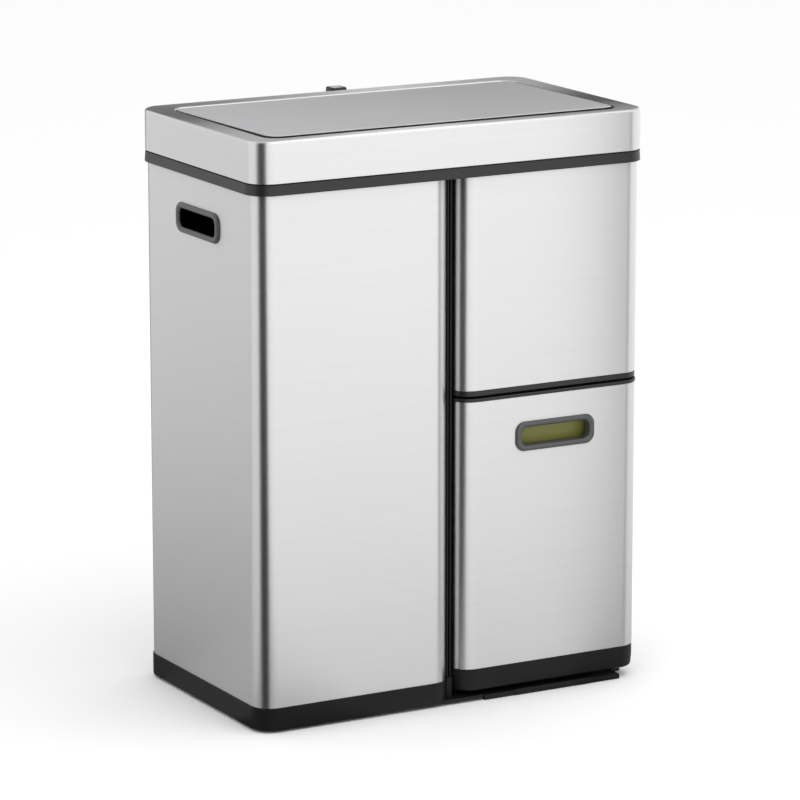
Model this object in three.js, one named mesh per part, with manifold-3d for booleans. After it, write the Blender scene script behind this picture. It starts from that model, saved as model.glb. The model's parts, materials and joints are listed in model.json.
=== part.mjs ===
// Three-compartment household recycling bin in brushed steel.
//
// A tall left compartment and a smaller upper right compartment share one head with an inset,
// touch-to-open lid. The lower right compartment is a drawer: a steel bin on a low slide-out tray.
// Millimetres, +Z up, the front faces -Y. The origin is the middle of the overall footprint, on the floor.
import * as THREE from "three";
import { mergeVertices } from "three/addons/utils/BufferGeometryUtils.js";
import Module from "manifold-3d";

const wasm = await Module();
wasm.setup();

// ---- Driving dimensions -------------------------------------------------------------------------------

// Overall
const bodyWidth = 590; // across both columns, steel to steel
const bodyDepth = 342; // front steel to back steel
const headTop = 794.5; // top of the steel rim above the floor
const cornerRadius = 28; // upright corners of every steel shell
const sheet = 0.6; // steel sheet thickness
const fit = 0.3; // gap between pieces that touch in the real bin

// Columns
const leftWidth = 292.5; // tall left compartment
const columnGap = 9.8; // recess between the two columns

// Base
const footHeight = 3.5;
const baseFloor = 4.5; // thickness of the base plate
const baseTrimHeight = 31; // black skirt round the left compartment
const baseTrimProud = 1.5;
const shellSeat = 5; // how far a shell stands down inside the base skirt
const baseLedge = 12; // width of the ledge that a shell stands on
const plateRightInset = 18; // the base plate stops this far inside the body's right side
const plateSetback = 22; // right of the tray, the base plate stands this far behind the front

// Collar and head
const rimHeight = 57.5; // steel above the collar
const collarHeight = 14;
const collarProud = 3.5; // collar and rim stand this far out from the body
const collarFlare = 1; // the collar's lower edge stands out this much more
const collarLap = 6; // how far the collar laps down over the shells
const rimRound = 4; // outer top edge of the rim
const sideStrip = 28.5; // rim's top face, from body side to lid opening
const frontStrip = 19;
const backStrip = 30;
const openingRadius = 22;
const lipRound = 3.5; // rolled edge of the lid opening
const lipDepth = 14; // how far the opening's edge turns down

// Lid
const lidGap = 3.5; // all round the lid panel
const lidDrop = 0.4; // lid panel's top below the rim's top
const lidEdge = 8; // turned-down edge of the lid panel
const lidRound = 3;
const lidFrameDepth = 13;
const lidCoverThickness = 2;
const hingeInset = 20; // hinge axis in front of the opening's back edge
const hingeDrop = 8; // hinge axis below the rim's top
const pinRadius = 2.5;
const pinFit = 0.1; // radial clearance of the hinge pins

// Rear release button
const buttonWidth = 24;
const buttonReach = 22; // how far it stands behind the collar
const buttonRise = 2.5; // above the rim's top
const buttonCap = 8;
const buttonTravel = 4;

// Upper right compartment and drawer
const drawerRimTop = 421.5;
const drawerRimHeight = 4.5;
const drawerRimProud = 1.2;
const drawerTopGap = 2.5; // between the drawer's rim and the compartment above
const upperTrimHeight = 7.5;
const drawerSkirtBottom = 14;
const drawerSkirtTop = 45;
const rearPanelThickness = 5;
const drawerRearGap = 2;

// Slide-out tray
const trayWidth = 208; // between the base plate's lips
const trayFlange = 3.5; // runs under each lip
const trayLipWidth = 215;
const trayRidgeWidth = 122;
const trayRightInset = 36.5; // from the body's right side to the tray's slot
const trayBottom = 0.8;
const trayTop = 7.5;

// Handles: one insert size serves the drawer and both sides
const handleLength = 124;
const handleHeight = 41;
const handleRadius = 14;
const gripLength = 106;
const gripHeight = 25;
const gripRadius = 9;
const handleProud = 4;
const handleWall = 2.5;
const drawerSleeveDepth = 10;
const carryCupDepth = 28;
const carryHandleBelowCollar = 60; // grip centre below the collar
const drawerHandleBelowRim = 60; // grip centre below the drawer's rim
const drawerHandleShift = 4.8; // to the right of the drawer's middle

// Buckets
const bucketWall = 2.2;
const bucketDraft = 14; // how much narrower each side is at the foot
const bucketFlange = 8;
const bucketFlangeThickness = 3;
const bucketGap = 2; // between a bucket's flange and the opening round it
const bucketRadius = 24;

// ---- Places worked out from the dimensions --------------------------------------------------------------

const leftX0 = -bodyWidth / 2;
const leftX1 = leftX0 + leftWidth;
const rightX0 = leftX1 + columnGap;
const rightX1 = bodyWidth / 2;
const front = -(bodyDepth + buttonReach) / 2;
const back = front + bodyDepth;

const baseBottom = footHeight;
const baseTop = baseBottom + baseTrimHeight;
const plateTop = baseBottom + baseFloor;
const plateX1 = rightX1 - plateRightInset;
const shellFoot = baseTop - shellSeat;
const collarBottom = headTop - rimHeight - collarHeight;
const shellTop = collarBottom + collarLap;
const topFrameThickness = 4;
const topFrameBottom = shellTop + fit;
const topFrameTop = topFrameBottom + topFrameThickness;
const collarTop = collarBottom + collarHeight;
const rimFoot = collarTop + fit;
const upperTrimBottom = drawerRimTop + drawerTopGap;
const upperTrimTop = upperTrimBottom + upperTrimHeight;
const drawerRimBottom = drawerRimTop - drawerRimHeight;

const bodyPlan = { x0: leftX0, x1: rightX1, y0: front, y1: back, r: cornerRadius };
const leftPlan = { x0: leftX0, x1: leftX1, y0: front, y1: back, r: cornerRadius };
const rightPlan = { x0: rightX0, x1: rightX1, y0: front, y1: back, r: cornerRadius };
const drawerPlan = {
  x0: rightX0,
  x1: rightX1,
  y0: front,
  y1: back - rearPanelThickness - drawerRearGap,
  r: cornerRadius,
};
const openingPlan = {
  x0: leftX0 + sideStrip,
  x1: rightX1 - sideStrip,
  y0: front + frontStrip,
  y1: back - backStrip,
  r: openingRadius,
};
const lidTop = headTop - lidDrop;
const hinge = { y: openingPlan.y1 - hingeInset, z: headTop - hingeDrop };
const latchX = (leftX1 + rightX0) / 2;
const drawerMiddle = (drawerPlan.x0 + drawerPlan.x1) / 2;
const tray = { x1: rightX1 - trayRightInset, x0: rightX1 - trayRightInset - trayWidth };

// ---- Geometry helpers -----------------------------------------------------------------------------------

const ARC_STEPS = 7;
const ROUND_STEPS = 4;

/** A plan moved outwards on all sides, or inwards where the distance is negative. */
function grow(plan, distance) {
  return {
    x0: plan.x0 - distance,
    x1: plan.x1 + distance,
    y0: plan.y0 - distance,
    y1: plan.y1 + distance,
    r: Math.max(plan.r + distance, 0.6),
  };
}

/** The points of a rounded rectangle, anticlockwise seen from above. */
function outline({ x0, x1, y0, y1, r }) {
  const corners = [
    [x1 - r, y0 + r, -Math.PI / 2],
    [x1 - r, y1 - r, 0],
    [x0 + r, y1 - r, Math.PI / 2],
    [x0 + r, y0 + r, Math.PI],
  ];
  return corners.flatMap(([cx, cy, from]) =>
    new THREE.EllipseCurve(cx, cy, r, r, from, from + Math.PI / 2).getPoints(ARC_STEPS),
  );
}

/** A closed solid through rounded rectangles at rising heights: each ring is a plan with its z. */
function loft(rings) {
  const loops = rings.map((ring) => outline(ring).map((p) => [p.x, p.y, ring.z]));
  const n = loops[0].length;
  const faces = [];
  for (let i = 1; i < n - 1; i++) faces.push([0, i + 1, i]);
  loops.slice(1).forEach((_, k) => {
    for (let i = 0; i < n; i++) {
      const [a, b] = [k * n + i, k * n + ((i + 1) % n)];
      faces.push([a, b, b + n], [a, b + n, a + n]);
    }
  });
  const last = (loops.length - 1) * n;
  for (let i = 1; i < n - 1; i++) faces.push([last, last + i, last + i + 1]);
  const geometry = new THREE.BufferGeometry();
  geometry.setAttribute("position", new THREE.Float32BufferAttribute(loops.flat(2), 3));
  geometry.setIndex(faces.flat());
  return geometry;
}

/** Rings that round a plan's edge over a quarter circle. side +1 rounds an upper edge, -1 a lower one. */
function roundedEdge(plan, z, radius, side) {
  const steps = Array.from({ length: ROUND_STEPS + 1 }, (_, i) => (i / ROUND_STEPS) * (Math.PI / 2));
  const rings = steps.map((a) => ({
    ...grow(plan, -radius * (1 - Math.cos(a))),
    z: z - side * radius * (1 - Math.sin(a)),
  }));
  return side > 0 ? rings : rings.reverse();
}

/** A geometry as a solid that can be cut and joined. */
function solidOf(geometry) {
  const bare = geometry.clone();
  bare.deleteAttribute("normal");
  bare.deleteAttribute("uv");
  const merged = mergeVertices(bare, 1e-4);
  return new wasm.Manifold(
    new wasm.Mesh({
      numProp: 3,
      vertProperties: new Float32Array(merged.attributes.position.array),
      triVerts: new Uint32Array(merged.index.array),
    }),
  );
}

const prism = (plan, z0, z1) =>
  solidOf(
    loft([
      { ...plan, z: z0 },
      { ...plan, z: z1 },
    ]),
  );

function block(x0, x1, y0, y1, z0, z1) {
  const box = new THREE.BoxGeometry(x1 - x0, y1 - y0, z1 - z0);
  return solidOf(box.translate((x0 + x1) / 2, (y0 + y1) / 2, (z0 + z1) / 2));
}

/** A round rod between two points along one axis, given as "x", "y" or "z". */
function rod(axis, from, to, a, b, radius, sides = 20) {
  const cylinder = new THREE.CylinderGeometry(radius, radius, to - from, sides);
  const middle = (from + to) / 2;
  if (axis === "x") cylinder.rotateZ(Math.PI / 2).translate(middle, a, b);
  else if (axis === "y") cylinder.translate(a, middle, b);
  else cylinder.rotateX(Math.PI / 2).translate(a, b, middle);
  return solidOf(cylinder);
}

const joined = (...solids) => solids.reduce((a, b) => a.add(b));
const cut = (solid, ...tools) => tools.reduce((a, b) => a.subtract(b), solid);

/** An open-ended tube of sheet inside a plan. */
const tube = (plan, z0, z1, wall) => cut(prism(plan, z0, z1), prism(grow(plan, -wall), z0 - 1, z1 + 1));

/** Turns a solid built along local +Z so that +Z faces a wall's outward normal and local +Y stays up. */
function facing(geometry, normal, x, y, z) {
  const up = new THREE.Vector3(0, 0, 1);
  const along = new THREE.Vector3().crossVectors(up, normal);
  const matrix = new THREE.Matrix4().makeBasis(along, up, normal).setPosition(x, y, z);
  return solidOf(geometry.clone().applyMatrix4(matrix));
}

// ---- Materials --------------------------------------------------------------------------------------------

const finish = (color, roughness, metalness) => new THREE.MeshStandardMaterial({ color, roughness, metalness });
const brushedSteel = finish(0xc9cacb, 0.34, 1);
const blackPlastic = finish(0x1b1b1c, 0.45, 0);
const greyPlastic = finish(0x4a4b4d, 0.42, 0);
const bucketPlastic = finish(0x2e3033, 0.55, 0);
const olivePlastic = finish(0x77772a, 0.5, 0);
const rubber = finish(0x111111, 0.85, 0);
const plainSteel = finish(0x9a9ca0, 0.3, 1);

/** A named mesh from a solid. */
function piece(name, solid, material) {
  const { vertProperties, triVerts } = solid.getMesh();
  const geometry = new THREE.BufferGeometry();
  geometry.setAttribute("position", new THREE.BufferAttribute(vertProperties, 3));
  geometry.setIndex(new THREE.BufferAttribute(triVerts, 1));
  const shaded = geometry.toNonIndexed();
  shaded.computeVertexNormals();
  const mesh = new THREE.Mesh(shaded, material);
  mesh.name = name;
  return mesh;
}

function group(...children) {
  const made = new THREE.Group();
  made.add(...children);
  return made;
}

// ---- Handle insert -------------------------------------------------------------------------------------------

const centred = (length, height, r) => ({ x0: -length / 2, x1: length / 2, y0: -height / 2, y1: height / 2, r });
const bezelPlan = centred(handleLength, handleHeight, handleRadius);
const gripPlan = centred(gripLength, gripHeight, gripRadius);
const sleevePlan = grow(gripPlan, handleWall);

/** A handle insert on a wall: a rounded bezel outside and a sleeve or a closed cup behind the sheet. */
function handleInsert(normal, x, y, z, depth, closed) {
  const at = (geometry) => facing(geometry, normal, x, y, z);
  const edge = 2.4;
  const bezel = at(loft([{ ...bezelPlan, z: fit }, ...roundedEdge(bezelPlan, handleProud, edge, 1)]));
  const sleeve = at(
    loft([
      { ...sleevePlan, z: -depth },
      { ...sleevePlan, z: fit + 1 },
    ]),
  );
  const grip = at(
    loft([
      { ...gripPlan, z: closed ? handleWall - depth : -depth - 1 },
      { ...gripPlan, z: handleProud - edge },
      { ...grow(gripPlan, 0.5), z: handleProud - edge / 2 },
      { ...grow(gripPlan, edge), z: handleProud + 0.5 },
    ]),
  );
  return cut(joined(bezel, sleeve), grip);
}

/** The cutter that leaves a sheet open for a handle's sleeve. */
function handleHole(normal, x, y, z) {
  const plan = grow(sleevePlan, fit);
  const reach = 4;
  return facing(
    loft([
      { ...plan, z: -reach },
      { ...plan, z: reach },
    ]),
    normal,
    x,
    y,
    z,
  );
}

const outLeft = new THREE.Vector3(-1, 0, 0);
const outRight = new THREE.Vector3(1, 0, 0);
const outFront = new THREE.Vector3(0, -1, 0);
const carryZ = collarBottom - carryHandleBelowCollar;
const carryY = (front + back) / 2;
const leftCarry = [outLeft, leftX0, carryY, carryZ];
const rightCarry = [outRight, rightX1, carryY, carryZ];
const drawerGrip = [outFront, drawerMiddle + drawerHandleShift, front, drawerRimTop - drawerHandleBelowRim];

// ---- Screws -----------------------------------------------------------------------------------------------------

const screwRadius = 1.9;
const screwHeadRadius = 4;
const screwHeadHeight = 2.2;

/** A pan-head screw along +Y, its head behind the given plane, its shank running forward. */
function rearScrew(name, x, plane, z, length) {
  const headProfile = [
    [0, 0],
    [screwHeadRadius, 0],
    [screwHeadRadius, screwHeadHeight * 0.45],
    [screwHeadRadius * 0.7, screwHeadHeight],
    [0, screwHeadHeight],
  ].map(([r, h]) => new THREE.Vector2(r, h));
  const head = solidOf(new THREE.LatheGeometry(headProfile, 16).translate(x, plane + fit, z));
  const shank = rod("y", plane + fit - length, plane + fit + 0.5, x, z, screwRadius, 12);
  const slot = 0.9;
  const across = screwHeadRadius * 0.55;
  const deep = plane + fit + screwHeadHeight * 0.5;
  const recess = joined(
    block(x - across, x + across, deep, deep + screwHeadHeight, z - slot / 2, z + slot / 2),
    block(x - slot / 2, x + slot / 2, deep, deep + screwHeadHeight, z - across, z + across),
  );
  return piece(name, cut(joined(head, shank), recess), plainSteel);
}

// ---- Cabinet ------------------------------------------------------------------------------------------------------

const dividerInset = 18; // front of the divider behind the body's front
const dividerSide = 0.5; // gap to the left shell
const dividerX0 = leftX1 + dividerSide;
const dividerX1 = rightX0 - drawerRimProud - 1; // clear of the drawer's rim
const seatInset = dividerInset - 2;

/** Base moulding: a skirted well for the left shell, a flat plate on the right and a slot for the tray. */
function base() {
  const skirtPlan = grow(leftPlan, baseTrimProud);
  const skirt = solidOf(
    loft([
      ...roundedEdge(skirtPlan, baseBottom, 1.5, -1),
      { ...skirtPlan, z: baseTop - 0.9 },
      { ...grow(skirtPlan, -0.7), z: baseTop },
    ]),
  );
  const shellPocket = prism(grow(leftPlan, fit), shellFoot - fit, baseTop + 1);
  const well = prism(grow(leftPlan, -baseLedge), plateTop, shellFoot + 1);
  const plate = prism(bodyPlan, baseBottom, plateTop);
  const dividerSeat = block(leftX1, dividerX1, front + seatInset, back - seatInset, baseBottom, baseTop);
  const reach = back - rearPanelThickness - drawerRearGap - 12;
  const slot = block(tray.x0 - fit, tray.x1 + fit, front - 5, reach, baseBottom - 1, plateTop + 1);
  const lipHalf = trayLipWidth / 2 + 1;
  const middle = (tray.x0 + tray.x1) / 2;
  const lipRecess = block(middle - lipHalf, middle + lipHalf, front - 5, front + 14, baseBottom - 1, plateTop + 1);
  const flangeGroove = block(
    tray.x0 - trayFlange - 1,
    tray.x1 + trayFlange + 1,
    front - 5,
    reach,
    baseBottom - 1,
    baseBottom + baseFloor / 2,
  );
  const rightEnd = block(plateX1, rightX1 + 1, front - 1, back + 1, baseBottom - 1, plateTop + 1);
  const frontRight = block(middle + lipHalf - 1, rightX1 + 1, front - 5, front + plateSetback, baseBottom - 1, plateTop + 1);
  const solid = joined(cut(skirt, shellPocket, well), cut(joined(plate, cut(dividerSeat, prism(leftPlan, 0, 99)))));
  return piece("base", cut(solid, shellPocket, well, slot, lipRecess, flangeGroove, rightEnd, frontRight), blackPlastic);
}

/** Steel wrap of the tall left compartment. */
function leftShell() {
  const wrap = tube(leftPlan, shellFoot, shellTop, sheet);
  return piece("left_shell", cut(wrap, handleHole(...leftCarry)), brushedSteel);
}

/** Steel wrap of the upper right compartment. */
function upperShell() {
  const wrap = tube(rightPlan, upperTrimTop + fit, shellTop, sheet);
  return piece("upper_right_shell", cut(wrap, handleHole(...rightCarry)), brushedSteel);
}

/** Floor of the upper right compartment, with the black trim line under its steel. */
function upperFloor() {
  const floor = 3;
  const spigotHeight = 20;
  const trim = solidOf(loft([...roundedEdge(rightPlan, upperTrimBottom, 1.5, -1), { ...rightPlan, z: upperTrimTop }]));
  const spigot = prism(grow(rightPlan, -sheet - fit), upperTrimTop - 1, upperTrimTop + spigotHeight);
  const pocket = prism(grow(rightPlan, -4), upperTrimBottom + floor, upperTrimTop + spigotHeight + 1);
  return piece("upper_right_floor", cut(joined(trim, spigot), pocket), blackPlastic);
}

/** Ribbed black upright in the recess between the columns, hollow and open at both ends. */
function divider() {
  const [x0, x1] = [dividerX0, dividerX1];
  const [y0, y1] = [front + dividerInset, back - dividerInset];
  const groove = (x1 - x0) / 3;
  const [deep, wall] = [5, 2];
  const plan = new THREE.Shape(
    [
      [x0, y0],
      [x0 + groove, y0],
      [x0 + groove, y0 + deep],
      [x1 - groove, y0 + deep],
      [x1 - groove, y0],
      [x1, y0],
      [x1, y1],
      [x0, y1],
    ].map(([x, y]) => new THREE.Vector2(x, y)),
  );
  const z0 = baseTop + fit;
  const upright = new THREE.ExtrudeGeometry(plan, { depth: shellTop - fit - z0, bevelEnabled: false });
  const hollow = block(x0 + wall, x1 - wall, y0 + deep + wall, y1 - wall, z0 - 1, shellTop);
  return piece("center_divider", cut(solidOf(upright.translate(0, 0, z0)), hollow), blackPlastic);
}

const rearScrewPlaces = [
  [rightX0 + 22, plateTop + 60],
  [rightX1 - 46, plateTop + 60],
  [rightX0 + 22, upperTrimBottom - 40],
  [rightX1 - 46, upperTrimBottom - 40],
];

/** Panel that closes the drawer bay at the back and carries the compartment above. */
function rearPanel() {
  const y0 = back - rearPanelThickness;
  const panel = block(rightX0, rightX1 - cornerRadius, y0, back, plateTop + fit, upperTrimBottom - fit);
  const holes = rearScrewPlaces.map(([x, z]) => rod("y", y0 - 1, back + 1, x, z, screwRadius + fit, 12));
  const ribs = [1, 2, 3].map((i) => {
    const x = rightX0 + 40 + i * 48;
    return block(x - 5, x + 5, back - 1.5, back + 1, plateTop + 30, upperTrimBottom - 30);
  });
  return piece("rear_panel", cut(panel, ...holes, ...ribs), blackPlastic);
}

const cornerPostWidth = 16;

/** Uprights behind the rear panel's ends, which tie it to the base and the floor above. */
function panelPosts() {
  const reach = drawerRearGap - 1;
  return rearScrewPlaces.slice(0, 2).map(([x], i) => {
    const y1 = back - rearPanelThickness - fit;
    const post = block(x - cornerPostWidth / 2, x + cornerPostWidth / 2, y1 - reach, y1, plateTop + 20, upperTrimBottom - 20);
    const holes = rearScrewPlaces.map(([sx, sz]) => rod("y", y1 - 9, y1 + 9, sx, sz, screwRadius + fit, 12));
    return piece("panel_strip_" + ["left", "right"][i], cut(post, ...holes), plainSteel);
  });
}

/** Flat frame that caps both columns: it ties the shells together and carries the buckets. */
function topFrame() {
  const plate = prism(bodyPlan, topFrameBottom, topFrameTop);
  const skirtDepth = 18;
  const skirt = (plan) => tube(grow(plan, -sheet - fit), topFrameBottom - skirtDepth, topFrameBottom + 1, 2);
  const holes = [leftBucketPlan, upperBucketPlan].map((plan) =>
    prism(grow(plan, -bucketFlange + 1.2), topFrameBottom - 1, topFrameTop + 1),
  );
  return piece("top_frame", joined(cut(plate, ...holes), skirt(leftPlan), skirt(rightPlan)), blackPlastic);
}

/** Rubber feet, and the small plate magnet that holds the drawer shut. */
function feet() {
  const inset = 34;
  const wide = 12;
  const narrow = 5;
  const places = [
    ["front_left", leftX0 + inset, front + inset, wide],
    ["back_left", leftX0 + inset, back - inset, wide],
    ["front_middle", (leftX1 + tray.x0) / 2, front + inset, wide],
    ["back_middle", (leftX1 + tray.x0) / 2, back - inset, wide],
    ["front_right", plateX1 - 7, front + inset, narrow],
    ["back_right", plateX1 - 7, back - inset, narrow],
  ];
  return places.map(([name, x, y, r]) => {
    const profile = [
      [0, 0],
      [r - 1, 0],
      [r, 1],
      [r, footHeight - fit],
      [0, footHeight - fit],
    ].map(([a, b]) => new THREE.Vector2(a, b));
    const pad = new THREE.LatheGeometry(profile, 20).rotateX(Math.PI / 2).translate(x, y, 0);
    return piece("foot_" + name, solidOf(pad), rubber);
  });
}

function drawerMagnet() {
  const [width, height, thickness] = [36, 14, drawerRearGap - 2 * fit];
  const y1 = back - rearPanelThickness - fit;
  const z = (drawerSkirtTop + drawerRimBottom) / 2;
  return piece(
    "drawer_magnet",
    block(drawerMiddle - width / 2, drawerMiddle + width / 2, y1 - thickness, y1, z - height / 2, z + height / 2),
    plainSteel,
  );
}

// ---- Buckets --------------------------------------------------------------------------------------------------------

const bucketFlangeBottom = topFrameTop + fit;
const leftBucketPlan = {
  x0: openingPlan.x0 + bucketGap,
  x1: leftX1 - 4,
  y0: openingPlan.y0 + bucketGap + 0.5,
  y1: openingPlan.y1 - bucketGap - 0.5,
  r: bucketRadius,
};
const upperBucketPlan = { ...leftBucketPlan, x0: rightX0 + 4, x1: openingPlan.x1 - bucketGap };

/** A tapered liner bucket that hangs by its flange. */
function bucket(name, plan, foot, flangeBottom, material) {
  const flangeTop = flangeBottom + bucketFlangeThickness;
  const wallTop = grow(plan, -bucketFlange);
  const wallFoot = grow(plan, -bucketFlange - bucketDraft);
  const outside = solidOf(
    loft([...roundedEdge(wallFoot, foot, 6, -1), { ...wallTop, z: flangeBottom }, { ...wallTop, z: flangeTop - 1 }]),
  );
  const flange = solidOf(loft([{ ...plan, z: flangeBottom }, ...roundedEdge(plan, flangeTop, 1.5, 1)]));
  const inside = solidOf(
    loft([
      { ...grow(wallFoot, -bucketWall), z: foot + bucketWall },
      { ...grow(wallTop, -bucketWall), z: flangeBottom },
      { ...grow(wallTop, -bucketWall), z: flangeTop + 1 },
    ]),
  );
  return piece(name, cut(joined(outside, flange), inside), material);
}

/** A loose ring that clamps a bag's edge over a bucket's flange. */
function bagRing(name, plan) {
  const z0 = bucketFlangeBottom + bucketFlangeThickness + fit;
  const outer = grow(plan, -1);
  const ring = solidOf(loft([{ ...outer, z: z0 }, ...roundedEdge(outer, z0 + 3, 1.5, 1)]));
  return piece(name, cut(ring, prism(grow(plan, -bucketFlange - bucketWall), z0 - 1, z0 + 9)), greyPlastic);
}

// ---- Head -------------------------------------------------------------------------------------------------------------

const rimPlan = grow(bodyPlan, collarProud);

/** Black collar under the steel rim: a flared band outside and a web that rests on the top frame. */
function collar() {
  const band = solidOf(
    loft([
      { ...grow(rimPlan, collarFlare - 0.5), z: collarBottom },
      { ...grow(rimPlan, collarFlare), z: collarBottom + 0.6 },
      { ...rimPlan, z: collarTop },
    ]),
  );
  const lap = prism(grow(bodyPlan, 0.8), collarBottom - 1, topFrameTop + fit);
  const mouth = prism(openingPlan, collarBottom - 1, collarTop + 1);
  return piece("head_collar", cut(band, lap, mouth), blackPlastic);
}

/** Steel rim: an outer wall, a flat top and a rolled edge that turns down into the lid opening. */
function rim() {
  const outside = solidOf(loft([{ ...rimPlan, z: rimFoot }, ...roundedEdge(rimPlan, headTop, rimRound, 1)]));
  const insidePlan = grow(rimPlan, -sheet);
  const inside = solidOf(
    loft([{ ...insidePlan, z: rimFoot - 1 }, ...roundedEdge(insidePlan, headTop - sheet, rimRound - sheet, 1)]),
  );
  const lipBottom = headTop - lipDepth;
  const lipPlan = grow(openingPlan, sheet);
  const lip = solidOf(
    loft([
      { ...lipPlan, z: lipBottom },
      { ...lipPlan, z: headTop - lipRound - 0.5 },
      { ...grow(lipPlan, lipRound), z: headTop - sheet / 2 },
    ]),
  );
  const roll = Array.from({ length: ROUND_STEPS + 1 }, (_, i) => {
    const a = (i / ROUND_STEPS) * (Math.PI / 2);
    return { ...grow(openingPlan, lipRound * (1 - Math.cos(a))), z: headTop - lipRound * (1 - Math.sin(a)) };
  });
  const above = { ...grow(openingPlan, lipRound), z: headTop + 1 };
  const mouth = solidOf(loft([{ ...openingPlan, z: lipBottom - 1 }, ...roll, above]));
  const pinHole = rod("x", leftX0, rightX1, hinge.y, hinge.z, pinRadius + 1, 16);
  const pinHoles = cut(pinHole, prism(grow(openingPlan, -20), 0, 999), prism(rimPlan, 0, hinge.z - pinRadius - 2));
  const outerWall = cut(prism(rimPlan, 0, 999), prism(grow(rimPlan, -10), -1, 1000));
  return piece("head_rim", cut(joined(cut(outside, inside), lip), mouth, cut(pinHoles, outerWall)), brushedSteel);
}

const linerWall = 3;
const linerFoot = 3;
const linerGap = 1.2; // behind the opening's turned-down edge
const linerTop = headTop - lipDepth - fit;
const bearingInner = openingPlan.x1 + linerGap + linerWall + fit;
const bearingOuter = bearingInner + 9;
const pinBore = rod("x", leftX0, rightX1, hinge.y, hinge.z, pinRadius + pinFit);

/** Black inner wall of the head, with a foot that screws down to the collar. */
function headLiner() {
  const inner = grow(openingPlan, linerGap);
  const wall = tube(grow(inner, linerWall), rimFoot, linerTop, linerWall);
  const base = prism(grow(rimPlan, -sheet - fit), rimFoot, rimFoot + linerFoot);
  const foot = cut(base, prism(inner, rimFoot - 1, rimFoot + 9));
  return piece("head_liner", joined(wall, foot), blackPlastic);
}

/** Hinge bearings beside the opening, one at each end of the hinge axis. */
function hingeBracket(name, side) {
  const half = 9;
  const foot = rimFoot + linerFoot + fit;
  const top = hinge.z + pinRadius + 2;
  const xs = side > 0 ? [bearingInner, bearingOuter] : [-bearingOuter, -bearingInner];
  const bearing = joined(
    block(...xs, hinge.y - half, hinge.y + half, foot, hinge.z),
    rod("x", ...xs, hinge.y, hinge.z, top - hinge.z, 16),
  );
  return piece(name, cut(bearing, pinBore), greyPlastic);
}

/** Rotary damper on the right-hand bearing, turned by the hinge pin, so the lid rises slowly. */
function damper() {
  const x0 = bearingOuter + fit;
  const body = joined(
    rod("x", x0, x0 + 10, hinge.y, hinge.z - 1, 6, 20),
    block(x0, x0 + 4, hinge.y - 15, hinge.y + 15, hinge.z - 7, hinge.z - 2),
  );
  return piece("lid_damper", cut(body, rod("x", x0 - 1, x0 + 6, hinge.y, hinge.z, pinRadius + pinFit)), greyPlastic);
}

const latchTop = headTop - lipDepth - 15;
const latchY = { y0: openingPlan.y0 - linerGap + fit, y1: openingPlan.y0 + 13 };
const plungerRadius = 4;
const plungerTravel = 4;
const strikerThickness = 1.2;
const lidCoverBottom = lidTop - sheet - lidFrameDepth - fit - lidCoverThickness;
const strikerBottom = lidCoverBottom - fit - strikerThickness;

/** Push latch at the middle of the head's front wall. */
function latchHousing() {
  const half = 11;
  const y = (latchY.y0 + latchY.y1) / 2;
  const body = block(latchX - half, latchX + half, latchY.y0, latchY.y1, latchTop - 22, latchTop);
  const bore = rod("z", latchTop - 18, latchTop + 1, latchX, y, plungerRadius + fit);
  return piece("latch_housing", cut(body, bore), greyPlastic);
}

function latchPlunger() {
  const y = (latchY.y0 + latchY.y1) / 2;
  const shaft = rod("z", latchTop - 12, strikerBottom - fit, latchX, y, plungerRadius);
  return piece("latch_plunger", shaft, greyPlastic);
}

const bracketTop = headTop - 11;
const buttonX = 14;
const buttonY = back + collarProud + collarFlare;

/** Guide behind the rim for the button that releases the head. */
function releaseGuide() {
  const y0 = back + collarProud + fit;
  const body = block(buttonX - 15, buttonX + 15, y0, y0 + 17, bracketTop - 34, bracketTop);
  const well = block(buttonX - 5 - 0.5, buttonX + 5 + 0.5, y0 + 4, y0 + 13, bracketTop - 30, bracketTop + 1);
  return piece("release_guide", cut(body, well), blackPlastic);
}

function releaseButton() {
  const capTop = headTop + buttonRise;
  const capPlan = {
    x0: buttonX - buttonWidth / 2,
    x1: buttonX + buttonWidth / 2,
    y0: buttonY,
    y1: buttonY + buttonReach,
    r: 4,
  };
  const cap = solidOf(loft([{ ...capPlan, z: capTop - buttonCap }, ...roundedEdge(capPlan, capTop, 1.5, 1)]));
  const y0 = back + collarProud + fit + 4.5;
  const stem = block(buttonX - 5, buttonX + 5, y0, y0 + 8, bracketTop - 24, capTop - buttonCap + 1);
  return piece("release_button", joined(cap, stem), blackPlastic);
}

// ---- Lid ---------------------------------------------------------------------------------------------------------------

const lidPlan = grow(openingPlan, -lidGap);
const lidFramePlan = grow(lidPlan, -sheet - fit);
const bossLength = 16;
const springTurns = 5;
const springPitch = 3.2;

/** Steel skin of the lid, with its edge turned down. */
function lidPanel() {
  const skin = solidOf(loft([{ ...lidPlan, z: lidTop - lidEdge }, ...roundedEdge(lidPlan, lidTop, lidRound, 1)]));
  const under = grow(lidPlan, -sheet);
  const hollow = solidOf(
    loft([{ ...under, z: lidTop - lidEdge - 1 }, ...roundedEdge(under, lidTop - sheet, lidRound - sheet, 1)]),
  );
  return piece("lid_panel", cut(skin, hollow, pinBore), brushedSteel);
}

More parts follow.
